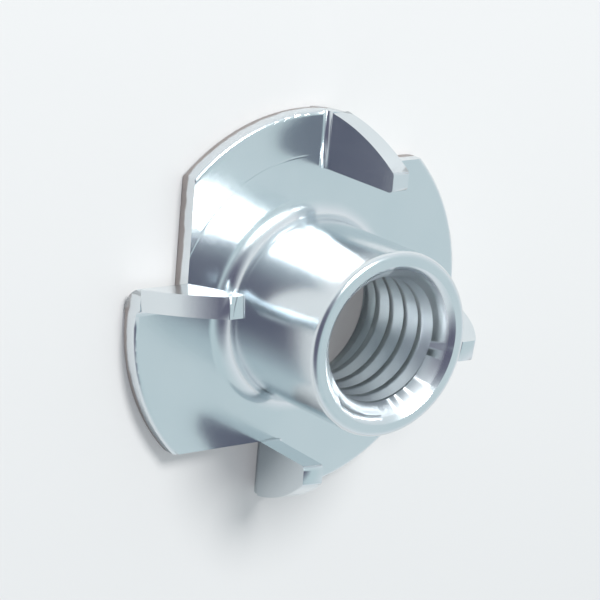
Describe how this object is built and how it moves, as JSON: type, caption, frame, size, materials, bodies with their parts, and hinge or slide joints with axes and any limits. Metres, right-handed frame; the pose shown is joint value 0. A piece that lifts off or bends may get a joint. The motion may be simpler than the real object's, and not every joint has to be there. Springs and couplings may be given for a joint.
{
  "type": "tee nut",
  "caption": "Pronged tee nut stamped and drawn from zinc-plated sheet steel: a threaded barrel on a round flange whose folded prongs bite into wood.",
  "frame": {"origin": "centre of the flange's flat back face, on the bore's axis", "axes": "+Z along the bore, from the flange's back toward the barrel's mouth and the prong tips; +X and +Y square to the prongs' fold lines, so that each prong's cut edge faces an axis"},
  "size_m": [0.022, 0.022, 0.0094],
  "materials": {
    "zinc_plate": "bright blue-white zinc plate on steel, softly mirrored"
  },
  "bodies": {
    "root": {"tee_nut": "zinc_plate"}
  },
  "joints": []
}
